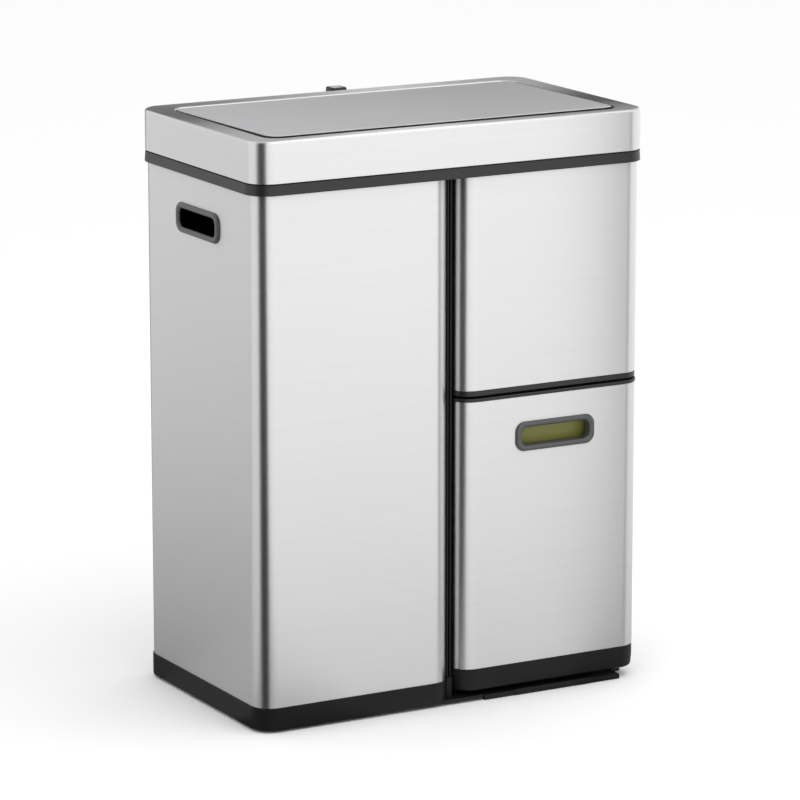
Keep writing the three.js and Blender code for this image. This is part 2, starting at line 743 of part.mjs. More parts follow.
/** Plastic frame inside the lid: a rim, a web under the skin and cross ribs. */
function lidFrame() {
  const top = lidTop - sheet - fit;
  const bottom = top - lidFrameDepth + fit;
  const web = 2;
  const wall = 2.5;
  const rounded = grow(lidFramePlan, -1.6);
  const outside = solidOf(
    loft([
      { ...lidFramePlan, z: bottom },
      { ...lidFramePlan, z: top - 2.2 },
      { ...rounded, z: top },
    ]),
  );
  const well = prism(grow(lidFramePlan, -wall), bottom - 1, top - web);
  const span = lidFramePlan.x1 - lidFramePlan.x0;
  const ribs = [1, 2, 3].map((i) => {
    const x = lidFramePlan.x0 + (span * i) / 4;
    return block(x - 1, x + 1, lidFramePlan.y0 + 1, lidFramePlan.y1 - 1, bottom + 2, top - web + 0.5);
  });
  const bosses = [
    [lidFramePlan.x0 + 1, lidFramePlan.x0 + bossLength],
    [lidFramePlan.x1 - bossLength, lidFramePlan.x1 - 1],
  ].map((xs) => block(...xs, hinge.y - 6, hinge.y + 6, bottom + 1, top - web + 0.5).intersect(outside));
  return piece("lid_frame", cut(joined(cut(outside, well), ...ribs, ...bosses), pinBore), blackPlastic);
}

/** Smooth inner cover that closes the frame from below. */
function lidCover() {
  const plan = grow(lidFramePlan, -0.6);
  const cover = solidOf(
    loft([
      { ...grow(plan, -1.2), z: lidCoverBottom },
      { ...plan, z: lidCoverBottom + 1 },
      { ...plan, z: lidCoverBottom + lidCoverThickness },
    ]),
  );
  return piece("lid_inner_cover", cover, greyPlastic);
}

function striker() {
  const y = (latchY.y0 + latchY.y1) / 2;
  const plate = block(latchX - 12, latchX + 12, y - 6, y + 6, strikerBottom, strikerBottom + strikerThickness);
  return piece("latch_striker", plate, plainSteel);
}

/** Hinge pin fixed in the lid frame. The left one is longer and carries the spring. */
function hingePin(name, side) {
  const inner = lidFramePlan.x1 - bossLength - (side < 0 ? springTurns * springPitch + 6 : -1);
  const outer = bearingOuter + (side < 0 ? -0.5 : 5);
  const xs = side > 0 ? [inner, outer] : [-outer, -inner];
  return piece(name, rod("x", ...xs, hinge.y, hinge.z, pinRadius), plainSteel);
}

/** Torsion spring round the left hinge pin that lifts the lid off its latch. */
function liftSpring() {
  const [wire, stepsPerTurn] = [1.1, 12];
  const radius = pinRadius + wire / 2 + fit;
  const x0 = lidFramePlan.x0 + bossLength + 2;
  const points = Array.from({ length: springTurns * stepsPerTurn + 1 }, (_, i) => {
    const a = (i / stepsPerTurn) * 2 * Math.PI;
    const x = x0 + (springPitch * i) / stepsPerTurn;
    return new THREE.Vector3(x, hinge.y + radius * Math.cos(a), hinge.z + radius * Math.sin(a));
  });
  const section = new THREE.Shape(
    Array.from({ length: 6 }, (_, i) => {
      const a = (i / 6) * 2 * Math.PI;
      return new THREE.Vector2((wire / 2) * Math.cos(a), (wire / 2) * Math.sin(a));
    }),
  );
  const coil = new THREE.ExtrudeGeometry(section, {
    extrudePath: new THREE.CatmullRomCurve3(points),
    steps: springTurns * stepsPerTurn,
    bevelEnabled: false,
  });
  return piece("lift_spring", solidOf(coil), plainSteel);
}

// ---- Drawer ----------------------------------------------------------------------------------------------------------------

const drawerFloorTop = 22;

/** Black foot of the drawer: a skirt outside, a floor and a spigot for the steel. */
function drawerBase() {
  const drafted = grow(drawerPlan, -1.2);
  const outside = solidOf(
    loft([
      ...roundedEdge(drafted, drawerSkirtBottom, 3.5, -1),
      { ...drawerPlan, z: drawerSkirtTop - 16 },
      { ...drawerPlan, z: drawerSkirtTop },
    ]),
  );
  const spigot = prism(grow(drawerPlan, -sheet - fit), drawerSkirtTop - 1, drawerSkirtTop + 15);
  const pocket = prism(grow(drawerPlan, -4), drawerFloorTop, drawerSkirtTop + 16);
  const underside = prism(grow(drawerPlan, -8), drawerSkirtBottom - 1, drawerFloorTop - 4);
  const bosses = trayScrewPlaces().map(([x, y]) => rod("z", trayTop + fit, drawerFloorTop - 2, x, y, 8));
  const bores = trayScrewPlaces().map(([x, y]) => rod("z", trayTop - 1, drawerFloorTop - 1, x, y, screwRadius + fit, 12));
  const solid = joined(cut(joined(outside, spigot), pocket, underside), ...bosses);
  return piece("drawer_base", cut(solid, ...bores), blackPlastic);
}

function trayScrewPlaces() {
  const [x0, x1] = [tray.x0 + 24, tray.x1 - 24];
  const [y0, y1] = [front + 50, back - 70];
  return [
    [x0, y0],
    [x1, y0],
    [x0, y1],
    [x1, y1],
  ];
}

/** Steel wrap of the drawer. */
function drawerShell() {
  const wrap = tube(drawerPlan, drawerSkirtTop + fit, drawerRimBottom - fit, sheet);
  return piece("drawer_shell", cut(wrap, handleHole(...drawerGrip)), brushedSteel);
}

const drawerLedge = 6.5; // bucket flange inside the drawer's rim

/** Black rim that finishes the drawer's top edge and carries its bucket. */
function drawerRim() {
  const outer = grow(drawerPlan, drawerRimProud);
  const band = solidOf(
    loft([
      { ...grow(outer, -0.8), z: drawerRimBottom },
      { ...outer, z: drawerRimBottom + 0.9 },
      ...roundedEdge(outer, drawerRimTop, 1.4, 1),
    ]),
  );
  const skirt = prism(grow(drawerPlan, -sheet - fit), drawerRimBottom - 14, drawerRimBottom + 1);
  const flangeSeat = prism(grow(drawerPlan, -drawerLedge + fit), drawerRimBottom - 0.2, drawerRimTop + 1);
  const mouth = prism(grow(drawerPlan, -drawerLedge - bucketFlange + 1.2), drawerRimBottom - 20, drawerRimTop + 1);
  const hollow = prism(grow(drawerPlan, -3.2), drawerRimBottom - 20, drawerRimBottom - 3);
  return piece("drawer_rim", cut(joined(band, skirt), flangeSeat, mouth, hollow), blackPlastic);
}

/** Low tray that runs in the base plate and carries the drawer out. */
function drawerTray() {
  const rear = back - rearPanelThickness - drawerRearGap - 14;
  const plate = block(tray.x0, tray.x1, front + 2, rear, trayBottom + 1, trayTop);
  const flangeTop = baseBottom + baseFloor / 2 - fit;
  const flange = block(tray.x0 - trayFlange, tray.x1 + trayFlange, front + 14 + fit, rear, trayBottom + 1.2, flangeTop);
  const middle = (tray.x0 + tray.x1) / 2;
  const lip = block(middle - trayLipWidth / 2, middle + trayLipWidth / 2, front - 2, front + 13, trayBottom, trayTop);
  const ridge = block(middle - trayRidgeWidth / 2, middle + trayRidgeWidth / 2, front - 2.8, front, trayBottom, trayTop + 1.2);
  const holes = trayScrewPlaces().map(([x, y]) => rod("z", 0, 20, x, y, screwRadius + fit, 12));
  return piece("drawer_tray", cut(joined(plate, flange, lip, ridge), ...holes), blackPlastic);
}

/** Countersunk-style screws from under the tray into the drawer's foot. */
function trayScrews() {
  return trayScrewPlaces().map(([x, y], i) =>
    piece("tray_screw_" + (i + 1), rod("z", trayBottom + 1.2, drawerFloorTop - 1 - fit, x, y, screwRadius, 12), plainSteel),
  );
}

const drawerBucketPlan = grow(drawerPlan, -drawerLedge);

// ---- The bin -----------------------------------------------------------------------------------------------------------------

const cabinet = group(
  base(),
  leftShell(),
  upperShell(),
  upperFloor(),
  divider(),
  rearPanel(),
  ...panelPosts(),
  topFrame(),
  piece("carry_handle_left", handleInsert(...leftCarry, carryCupDepth, true), greyPlastic),
  piece("carry_handle_right", handleInsert(...rightCarry, carryCupDepth, true), greyPlastic),
  ...feet(),
  drawerMagnet(),
  ...rearScrewPlaces.map(([x, z], i) => rearScrew("rear_screw_" + (i + 1), x, back, z, rearPanelThickness + 1)),
);
const leftBucket = group(
  bucket("left_bucket", leftBucketPlan, plateTop + 12, bucketFlangeBottom, bucketPlastic),
  bagRing("left_bag_ring", leftBucketPlan),
);
const upperBucket = group(
  bucket("upper_right_bucket", upperBucketPlan, upperTrimBottom + 8, bucketFlangeBottom, bucketPlastic),
  bagRing("upper_right_bag_ring", upperBucketPlan),
);
const lid = group(
  lidPanel(),
  lidFrame(),
  lidCover(),
  striker(),
  hingePin("hinge_pin_left", -1),
  hingePin("hinge_pin_right", 1),
  liftSpring(),
);
const head = group(
  collar(),
  rim(),
  headLiner(),
  hingeBracket("hinge_bracket_left", -1),
  hingeBracket("hinge_bracket_right", 1),
  damper(),
  latchHousing(),
  latchPlunger(),
  releaseGuide(),
  releaseButton(),
  lid,
);
const drawer = group(
  drawerBase(),
  drawerShell(),
  drawerRim(),
  piece("drawer_handle", handleInsert(...drawerGrip, drawerSleeveDepth, false), greyPlastic),
  drawerTray(),
  ...trayScrews(),
  bucket("drawer_bucket", drawerBucketPlan, drawerFloorTop + 4, drawerRimBottom - 0.2 + fit, olivePlastic),
);

const bin = group(cabinet, leftBucket, upperBucket, head, drawer);
export default bin;
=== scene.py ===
"""Looks for a brushed steel recycling bin with three compartments.

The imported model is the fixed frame. Steel skins, handles and buckets are rebuilt here with rolled edges,
hems and seams; every other solid keeps its shape and gets softened edges and a finish of its own.
Lengths are in metres, +Z is up and the front faces -Y.
"""

import json
import logging
import math
from dataclasses import dataclass
from enum import Enum
from typing import Iterable, Optional, Sequence

import bmesh
import bpy
from mathutils import Matrix, Vector


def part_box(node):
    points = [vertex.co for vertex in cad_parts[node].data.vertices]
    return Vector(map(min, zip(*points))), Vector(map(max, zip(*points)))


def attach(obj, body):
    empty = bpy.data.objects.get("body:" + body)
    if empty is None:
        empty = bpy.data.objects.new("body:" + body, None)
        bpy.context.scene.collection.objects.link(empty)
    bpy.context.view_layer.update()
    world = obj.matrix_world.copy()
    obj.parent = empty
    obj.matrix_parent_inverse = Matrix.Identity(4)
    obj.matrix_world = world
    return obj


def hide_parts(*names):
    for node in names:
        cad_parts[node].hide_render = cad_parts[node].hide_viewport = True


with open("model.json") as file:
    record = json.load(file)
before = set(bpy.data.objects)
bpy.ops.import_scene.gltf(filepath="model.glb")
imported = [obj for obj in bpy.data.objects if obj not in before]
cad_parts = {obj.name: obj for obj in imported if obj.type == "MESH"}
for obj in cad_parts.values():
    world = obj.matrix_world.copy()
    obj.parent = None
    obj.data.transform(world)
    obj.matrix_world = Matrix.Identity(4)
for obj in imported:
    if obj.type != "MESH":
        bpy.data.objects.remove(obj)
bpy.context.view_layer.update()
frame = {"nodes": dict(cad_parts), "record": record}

LOG = logging.getLogger("recycling_bin")

CORNER_STEPS = 20
EDGE_STEPS = 6
PIN_SIDES = 24
FIT = 0.0003
SHEET = 0.0006


class Body(str, Enum):
    """The bodies that pieces ride on."""

    CABINET = "cabinet"
    LID = "lid"
    DRAWER = "drawer"
    PLUNGER = "latch_plunger"
    BUTTON = "release_button"


class Slot(str, Enum):
    """The record's material slots."""

    STEEL = "brushed_steel"
    BLACK = "black_plastic"
    GREY = "grey_plastic"
    BUCKET = "bucket_plastic"
    OLIVE = "olive_plastic"
    RUBBER = "rubber"
    ZINC = "plain_steel"


class Grain(Enum):
    """Which way the brushing runs: the lengths over which it varies along X, Y and Z."""

    WALL = (1.0, 1.0, 0.0)
    TOP = (1.0, 0.0, 1.0)


# ---- Finishes ------------------------------------------------------------------------------------


class NodeGraph:
    """A material's node tree with short ways to add and wire nodes."""

    def __init__(self, name: str) -> None:
        """Makes an empty material.

        Args:
            name: The material's name.
        """
        self.material = bpy.data.materials.new(name)
        self.material.use_nodes = True
        self.tree = self.material.node_tree
        self.tree.nodes.clear()
        self.output = self.tree.nodes.new("ShaderNodeOutputMaterial")
        self.place = self.tree.nodes.new("ShaderNodeTexCoord").outputs["Object"]

    def add(self, kind: str, **values: object) -> bpy.types.Node:
        """Adds a node.

        Args:
            kind: Blender's name for the node type.
            **values: Node properties, or socket values with spaces as underscores.

        Returns:
            The new node.
        """
        node = self.tree.nodes.new(kind)
        for key, value in values.items():
            if hasattr(node, key):
                setattr(node, key, value)
            else:
                node.inputs[key.replace("_", " ")].default_value = value
        return node

    def link(self, source: bpy.types.NodeSocket, target: bpy.types.NodeSocket) -> None:
        """Joins two sockets."""
        self.tree.links.new(source, target)

    def stretched(self, scale: Sequence[float]) -> bpy.types.NodeSocket:
        """The object's own coordinates, stretched.

        Args:
            scale: Factors along X, Y and Z.

        Returns:
            A vector socket.
        """
        mapping = self.add("ShaderNodeMapping", Scale=tuple(scale))
        self.link(self.place, mapping.inputs["Vector"])
        return mapping.outputs["Vector"]

    def noise(self, scale: Sequence[float], detail: float = 3.0, rough: float = 0.55) -> bpy.types.NodeSocket:
        """A noise value from 0 to 1 over stretched coordinates.

        Args:
            scale: Features per metre along X, Y and Z.
            detail: Octaves.
            rough: How strong the finer octaves are.

        Returns:
            A value socket.
        """
        node = self.add("ShaderNodeTexNoise", Scale=1.0, Detail=detail, Roughness=rough)
        self.link(self.stretched(scale), node.inputs["Vector"])
        return node.outputs["Fac"]

    def span(self, value: bpy.types.NodeSocket, low: float, high: float) -> bpy.types.NodeSocket:
        """Spreads the middle of a noise over a range.

        Args:
            value: The noise.
            low: Result at the noise's low end.
            high: Result at its high end.

        Returns:
            A value socket.
        """
        node = self.add("ShaderNodeMapRange", From_Min=0.3, From_Max=0.7, To_Min=low, To_Max=high)
        self.link(value, node.inputs["Value"])
        return node.outputs["Result"]

    def combine(self, kind: str, first: bpy.types.NodeSocket, second: bpy.types.NodeSocket) -> bpy.types.NodeSocket:
        """Joins two values with a math operation.

        Args:
            kind: Blender's name for the operation.
            first: One value.
            second: The other value.

        Returns:
            A value socket.
        """
        node = self.add("ShaderNodeMath", operation=kind)
        self.link(first, node.inputs[0])
        self.link(second, node.inputs[1])
        return node.outputs["Value"]

    def shades(self, value: bpy.types.NodeSocket, dark: "Colour", light: "Colour") -> bpy.types.NodeSocket:
        """A colour between two shades.

        Args:
            value: 0 for dark, 1 for light.
            dark: The dark shade.
            light: The light shade.

        Returns:
            A colour socket.
        """
        node = self.add("ShaderNodeMix", data_type="RGBA")
        node.inputs[6].default_value = (*dark, 1.0)
        node.inputs[7].default_value = (*light, 1.0)
        self.link(value, node.inputs[0])
        return node.outputs[2]

    def bump(self, height: bpy.types.NodeSocket, strength: float, depth: float) -> bpy.types.NodeSocket:
        """A normal from a height.

        Args:
            height: The height value.
            strength: From 0 to 1.
            depth: The height's full range, in metres.

        Returns:
            A normal socket.
        """
        node = self.add("ShaderNodeBump", Strength=strength, Distance=depth)
        self.link(height, node.inputs["Height"])
        return node.outputs["Normal"]

    def shader(self, **values: object) -> bpy.types.Node:
        """Adds the surface shader and wires it to the output.

        Args:
            **values: Socket values with spaces as underscores.

        Returns:
            The shader node.
        """
        node = self.add("ShaderNodeBsdfPrincipled", **values)
        self.link(node.outputs["BSDF"], self.output.inputs["Surface"])
        return node


Colour = tuple[float, float, float]


def tinted(colour: Colour, factor: float) -> Colour:
    """A colour made lighter or darker by a factor."""
    return (colour[0] * factor, colour[1] * factor, colour[2] * factor)


@dataclass(frozen=True)
class BrushedSteel:
    """Steel sheet with fine parallel brushing and soft, stretched reflections."""

    name: str
    grain: Grain = Grain.WALL
    colour: Colour = (0.66, 0.66, 0.665)
    roughness: float = 0.42
    anisotropy: float = 0.85
    hairline: float = 1400.0
    along: float = 9.0
    scratch_depth: float = 0.00002

    def make(self) -> bpy.types.Material:
        """Builds the material.

        Returns:
            The material.
        """
        graph = NodeGraph(self.name)
        across = [self.along if run else self.hairline for run in self.grain.value]
        broad = [self.along * 0.4 if run else self.hairline * 0.16 for run in self.grain.value]
        fine = graph.noise(across, 4.0, 0.62)
        bands = graph.noise(broad, 2.0)
        cloud = graph.noise((2.6, 2.6, 2.6), 2.0)
        tone = graph.combine("ADD", graph.span(fine, 0.0, 0.55), graph.span(bands, 0.0, 0.45))
        steel = graph.shader(Metallic=1.0, Anisotropic=self.anisotropy, Anisotropic_Rotation=0.25)
        tint = graph.shades(tone, tinted(self.colour, 0.972), tinted(self.colour, 1.022))
        graph.link(tint, steel.inputs["Base Color"])
        rough = graph.combine(
            "ADD",
            graph.span(fine, self.roughness - 0.015, self.roughness + 0.015),
            graph.span(cloud, -0.008, 0.008),
        )
        graph.link(rough, steel.inputs["Roughness"])
        graph.link(graph.bump(fine, 0.1, self.scratch_depth), steel.inputs["Normal"])
        axis = "Z" if self.grain is Grain.WALL else "Y"
        tangent = graph.add("ShaderNodeTangent", direction_type="RADIAL", axis=axis)
        graph.link(tangent.outputs["Tangent"], steel.inputs["Tangent"])
        return graph.material


@dataclass(frozen=True)
class MouldedPlastic:
    """Injection moulded plastic with a spark-eroded grain."""

    name: str
    colour: Colour
    roughness: float = 0.42
    grain_size: float = 0.00055
    grain_depth: float = 0.00003
    gloss: float = 0.5
    glow: float = 0.0

    def make(self) -> bpy.types.Material:
        """Builds the material.

        Returns:
            The material.
        """
        graph = NodeGraph(self.name)
        per_metre = 1.0 / self.grain_size
        grain = graph.noise((per_metre,) * 3, 2.0, 0.5)
        flow = graph.noise((7.0, 7.0, 16.0), 3.0)
        plastic = graph.shader(Specular_IOR_Level=self.gloss)
        if self.glow:
            plastic.inputs["Subsurface Weight"].default_value = self.glow
            plastic.inputs["Subsurface Scale"].default_value = 0.004
        tone = graph.combine("ADD", graph.span(grain, 0.0, 0.4), graph.span(flow, 0.0, 0.6))
        tint = graph.shades(tone, tinted(self.colour, 0.86), tinted(self.colour, 1.12))
        graph.link(tint, plastic.inputs["Base Color"])
        rough = graph.combine(
            "ADD",
            graph.span(grain, self.roughness - 0.04, self.roughness + 0.04),
            graph.span(flow, -0.02, 0.02),
        )
        graph.link(rough, plastic.inputs["Roughness"])
        graph.link(graph.bump(grain, 0.35, self.grain_depth), plastic.inputs["Normal"])
        return graph.material


@dataclass(frozen=True)
class ZincSteel:
    """Bright zinc-plated steel of screws, pins and plates, with a faint crystal bloom."""

    name: str
    colour: Colour = (0.52, 0.53, 0.56)
    roughness: float = 0.3

    def make(self) -> bpy.types.Material:
        """Builds the material.

        Returns:
            The material.
        """
        graph = NodeGraph(self.name)
        bloom = graph.noise((420.0,) * 3, 3.0)
        zinc = graph.shader(Metallic=1.0)
        graph.link(graph.shades(bloom, tinted(self.colour, 0.8), tinted(self.colour, 1.1)), zinc.inputs["Base Color"])
        graph.link(graph.span(bloom, self.roughness - 0.08, self.roughness + 0.08), zinc.inputs["Roughness"])
        graph.link(graph.bump(bloom, 0.15, 0.00003), zinc.inputs["Normal"])
        return graph.material


@dataclass(frozen=True)
class Rubber:
    """Matt black rubber with a dusty, pitted surface."""

    name: str

    def make(self) -> bpy.types.Material:
        """Builds the material.

        Returns:
            The material.
        """
        graph = NodeGraph(self.name)
        pits = graph.noise((1600.0,) * 3, 4.0, 0.7)
        rubber = graph.shader(Specular_IOR_Level=0.3)
        graph.link(graph.shades(pits, (0.008, 0.008, 0.008), (0.022, 0.022, 0.021)), rubber.inputs["Base Color"])
        graph.link(graph.span(pits, 0.72, 0.9), rubber.inputs["Roughness"])
        graph.link(graph.bump(pits, 0.5, 0.00008), rubber.inputs["Normal"])
        return graph.material


@dataclass(frozen=True)
class FloorPaint:
    """Plain pale floor with a barely visible mottle."""

    name: str = "pale_floor"
    colour: Colour = (0.9, 0.9, 0.9)

    def make(self) -> bpy.types.Material:
        """Builds the material.

        Returns:
            The material.
        """
        graph = NodeGraph(self.name)
        mottle = graph.noise((1.2, 1.2, 1.2), 2.0)
        paint = graph.shader(Roughness=0.9, Specular_IOR_Level=0.1)
        graph.link(graph.shades(mottle, tinted(self.colour, 0.99), self.colour), paint.inputs["Base Color"])
        return graph.material


@dataclass(frozen=True)
class Palette:
    """Every finish of the bin, made once."""

    wall_steel: bpy.types.Material
    top_steel: bpy.types.Material
    # Darker copy of the wall steel: painted shade on the lid.
    lid_steel: bpy.types.Material
    black: bpy.types.Material
    collar_black: bpy.types.Material
    grey: bpy.types.Material
    bucket: bpy.types.Material
    olive: bpy.types.Material
    silver: bpy.types.Material
    rubber: bpy.types.Material
    zinc: bpy.types.Material

    @classmethod
    def make(cls) -> "Palette":
        """Builds all the finishes.

        Returns:
            The palette.
        """
        return cls(
            wall_steel=BrushedSteel("brushed_steel_wall").make(),
            top_steel=BrushedSteel("brushed_steel_rim").make(),
            # Same brushed steel as the walls with its grain along the top, made darker (0.57 against 0.66) as painted
            # shade so the lid reads darker than the walls.
            lid_steel=BrushedSteel("brushed_steel_lid_painted_shade", grain=Grain.TOP, colour=(0.57, 0.57, 0.58)).make(),
            black=MouldedPlastic("black_plastic", (0.008, 0.008, 0.0085), gloss=0.2).make(),
            collar_black=MouldedPlastic(
                "black_plastic_smooth", (0.009, 0.009, 0.0095), roughness=0.34, gloss=0.4).make(),
            grey=MouldedPlastic("grey_plastic", (0.05, 0.051, 0.053), roughness=0.36, gloss=0.6).make(),
            bucket=MouldedPlastic("bucket_plastic", (0.032, 0.034, 0.037), roughness=0.5).make(),
            olive=MouldedPlastic("olive_plastic", (0.2, 0.2, 0.03), roughness=0.45, glow=0.15).make(),
            silver=MouldedPlastic("silver_plastic", (0.45, 0.45, 0.46), roughness=0.38, gloss=0.6).make(),
            rubber=Rubber("foot_rubber").make(),
            zinc=ZincSteel("zinc_steel").make(),
        )

    def for_slot(self, slot: Slot) -> bpy.types.Material:
        """The finish that a record slot stands for.

        Args:
            slot: The slot.

        Returns:
            Its material.
        """
        return {
            Slot.STEEL: self.wall_steel,
            Slot.BLACK: self.black,
            Slot.GREY: self.grey,
            Slot.BUCKET: self.bucket,
            Slot.OLIVE: self.olive,
            Slot.RUBBER: self.rubber,
            Slot.ZINC: self.zinc,
        }[slot]


# ---- Shapes --------------------------------------------------------------------------------------


@dataclass(frozen=True)
class Plan:
    """A rounded rectangle in its own plane."""

    x0: float
    x1: float
    y0: float
    y1: float
    r: float

    @classmethod
    def of_node(cls, node: str, radius: float) -> "Plan":
        """The plan of a CAD node's box.

        Args:
            node: The node's name.
            radius: Corner radius.

        Returns:
            The plan.
        """
        low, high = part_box(node)
        return cls(low.x, high.x, low.y, high.y, radius)

    @classmethod
    def centred(cls, length: float, height: float, radius: float) -> "Plan":
        """A plan about the origin."""
        return cls(-length / 2, length / 2, -height / 2, height / 2, radius)

    def grow(self, distance: float) -> "Plan":
        """The plan moved outwards on all sides, or inwards where the distance is negative."""
        d = distance
        return Plan(self.x0 - d, self.x1 + d, self.y0 - d, self.y1 + d, max(self.r + d, 0.0006))

    def towards(self, other: "Plan", share: float) -> "Plan":
        """The plan part of the way from this one to another.

        Args:
            other: The plan at a share of 1.
            share: How far along the way, from 0 to 1.

        Returns:
            The plan between.
        """
        mine = (self.x0, self.x1, self.y0, self.y1, self.r)
        sizes = zip(mine, (other.x0, other.x1, other.y0, other.y1, other.r))
        return Plan(*(a + (b - a) * share for a, b in sizes))

    def outline(self, steps: int = CORNER_STEPS) -> list[tuple[float, float]]:
        """The points round the plan, anticlockwise.

        Args:
            steps: Segments in each corner.

        Returns:
            The points.
        """
        corners = (
            (self.x1 - self.r, self.y0 + self.r, -90),
            (self.x1 - self.r, self.y1 - self.r, 0),
            (self.x0 + self.r, self.y1 - self.r, 90),
            (self.x0 + self.r, self.y0 + self.r, 180),
        )
        points = []
        for cx, cy, start in corners:
            for i in range(steps + 1):
                angle = math.radians(start + 90 * i / steps)
                points.append((cx + self.r * math.cos(angle), cy + self.r * math.sin(angle)))
        return points


Ring = tuple[Plan, float]


def rounded(plan: Plan, z: float, radius: float, upper: bool = True, steps: int = EDGE_STEPS) -> list[Ring]:
    """Rings that round a plan's edge over a quarter circle, from low to high.

    Args:
        plan: The plan below (or above) the edge.
        z: Height of the edge's flat face.
        radius: The edge's radius.
        upper: True for an upper edge, False for a lower one.
        steps: Segments of the quarter circle.

    Returns:
        The rings.
    """
    side = 1 if upper else -1
    rings = []
    for i in range(steps + 1):
        angle = i / steps * math.pi / 2
        rings.append((plan.grow(-radius * (1 - math.cos(angle))), z - side * radius * (1 - math.sin(angle))))
    return rings if upper else rings[::-1]


def pin_circle(radius: float) -> list[tuple[float, float]]:
    """The outline of a hole for a hinge pin.

    Args:
        radius: The hole's radius.

    Returns:
        The points, anticlockwise.
    """
    turns = [2 * math.pi * i / PIN_SIDES for i in range(PIN_SIDES)]
    return [(radius * math.cos(turn), radius * math.sin(turn)) for turn in turns]


def facing(along: Vector, normal: Vector, place: Vector) -> Matrix:
    """The placement of a piece built flat, so that its +Z faces a wall's normal and its +Y stays up.

    Args:
        along: Where local +X goes.
        normal: Where local +Z goes.
        place: Where the local origin goes.

    Returns:
        The matrix.
    """
    rotation = Matrix((along, Vector((0, 0, 1)), normal)).transposed()
    return Matrix.Translation(place) @ rotation.to_4x4()


class Piece:
    """One visible piece: a mesh object with the ways to shape, soften and dress it."""

    def __init__(self, name: str, mesh: bpy.types.Mesh) -> None:
        """Wraps a mesh.

        Args:
            name: The piece's name.
            mesh: Its mesh.
        """
        self.obj = bpy.data.objects.new(name, mesh)
        bpy.context.scene.collection.objects.link(self.obj)

    @classmethod
    def loft(cls, name: str, rings: Sequence[Ring], closed: bool = False, turn: Optional[Matrix] = None) -> "Piece":
        """Joins rounded rectangles into a solid.

        Args:
            name: The piece's name.
            rings: The section, ring by ring.
            closed: True where the last ring joins the first, as in a tube's wall.
            turn: A placement for the finished mesh.

        Returns:
            The piece.
        """
        shape = bmesh.new()
        loops = [[shape.verts.new((x, y, z)) for x, y in plan.outline()] for plan, z in rings]
        count = len(loops[0])
        pairs = list(zip(loops, loops[1:])) + ([(loops[-1], loops[0])] if closed else [])
        for low, high in pairs:
            for i in range(count):
                j = (i + 1) % count
                shape.faces.new((low[i], low[j], high[j], high[i]))
        if not closed:
            shape.faces.new(loops[0][::-1])
            shape.faces.new(loops[-1])
        return cls.from_bmesh(name, shape, turn)

    @classmethod
    def prism(cls, name: str, points: Sequence[tuple[float, float]], z0: float, z1: float,
              turn: Optional[Matrix] = None) -> "Piece":
        """Pulls a flat outline up into a solid.

        Args:
            name: The piece's name.
            points: The outline, anticlockwise.
            z0: Lower height.
            z1: Upper height.
            turn: A placement for the finished mesh.

        Returns:
            The piece.
        """
        shape = bmesh.new()
        low = [shape.verts.new((x, y, z0)) for x, y in points]
        high = [shape.verts.new((x, y, z1)) for x, y in points]
        for i in range(len(points)):
            j = (i + 1) % len(points)
            shape.faces.new((low[i], low[j], high[j], high[i]))
        shape.faces.new(low[::-1])
        shape.faces.new(high)
        return cls.from_bmesh(name, shape, turn)

    @classmethod
    def from_bmesh(cls, name: str, shape: bmesh.types.BMesh, turn: Optional[Matrix]) -> "Piece":
        """Turns a finished bmesh into a piece with outward faces.

        Args:
            name: The piece's name.
            shape: The bmesh, which is freed.
            turn: A placement for the finished mesh.

        Returns:
            The piece.
        """
        bmesh.ops.remove_doubles(shape, verts=shape.verts, dist=1e-7)
        if turn is not None:
            shape.transform(turn)
        bmesh.ops.recalc_face_normals(shape, faces=shape.faces)
        for face in shape.faces:
            face.smooth = True
        mesh = bpy.data.meshes.new(name)
        shape.to_mesh(mesh)
        shape.free()
        return cls(name, mesh)

    def merge(self, others: Iterable["Piece"], operation: str) -> "Piece":
        """Joins other pieces to this one, or cuts them out of it, and removes them.

        Args:
            others: The tools.
            operation: Blender's name for the operation.

        Returns:
            This piece.
        """
        for other in others:
            modifier = self.obj.modifiers.new(operation.lower(), "BOOLEAN")
            modifier.operation = operation
            modifier.solver = "MANIFOLD"
            modifier.object = other.obj
            shown = self.obj.evaluated_get(bpy.context.evaluated_depsgraph_get())
            mesh = bpy.data.meshes.new_from_object(shown)
            self.obj.modifiers.clear()
            self.obj.data = mesh
            bpy.data.objects.remove(other.obj)
        for polygon in self.obj.data.polygons:
            polygon.use_smooth = True
        return self

    def cut(self, *others: "Piece") -> "Piece":
        """Cuts other pieces out of this one."""
        return self.merge(others, "DIFFERENCE")

    def join(self, *others: "Piece") -> "Piece":
        """Joins other pieces to this one."""
        return self.merge(others, "UNION")

    def soften(self, width: float = 0.0003, segments: int = 2, angle: float = 32.0) -> "Piece":
        """Rounds the sharp edges a little and evens out the shading.

        Args:
            width: Width of the rounding.
            segments: Steps of the rounding.
            angle: Edges sharper than this many degrees are rounded.

        Returns:
            This piece.
        """
        add_softening(self.obj, width, segments, angle)
        return self

    def dress(self, material: bpy.types.Material, body: Body, slot: Slot, *replaced: str) -> "Piece":
        """Gives the piece its finish and its body, and hides the CAD nodes that it stands for.

        Args:
            material: The finish.
            body: The body it rides on.
            slot: The record's material slot; not used.
            *replaced: CAD nodes that it stands for.

        Returns:
            This piece.
        """
        self.obj.data.materials.clear()
        self.obj.data.materials.append(material)
        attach(self.obj, body.value)
        if replaced:
            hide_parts(*replaced)
        LOG.info("%s: %d faces on %s", self.obj.name, len(self.obj.data.polygons), body.value)
        return self


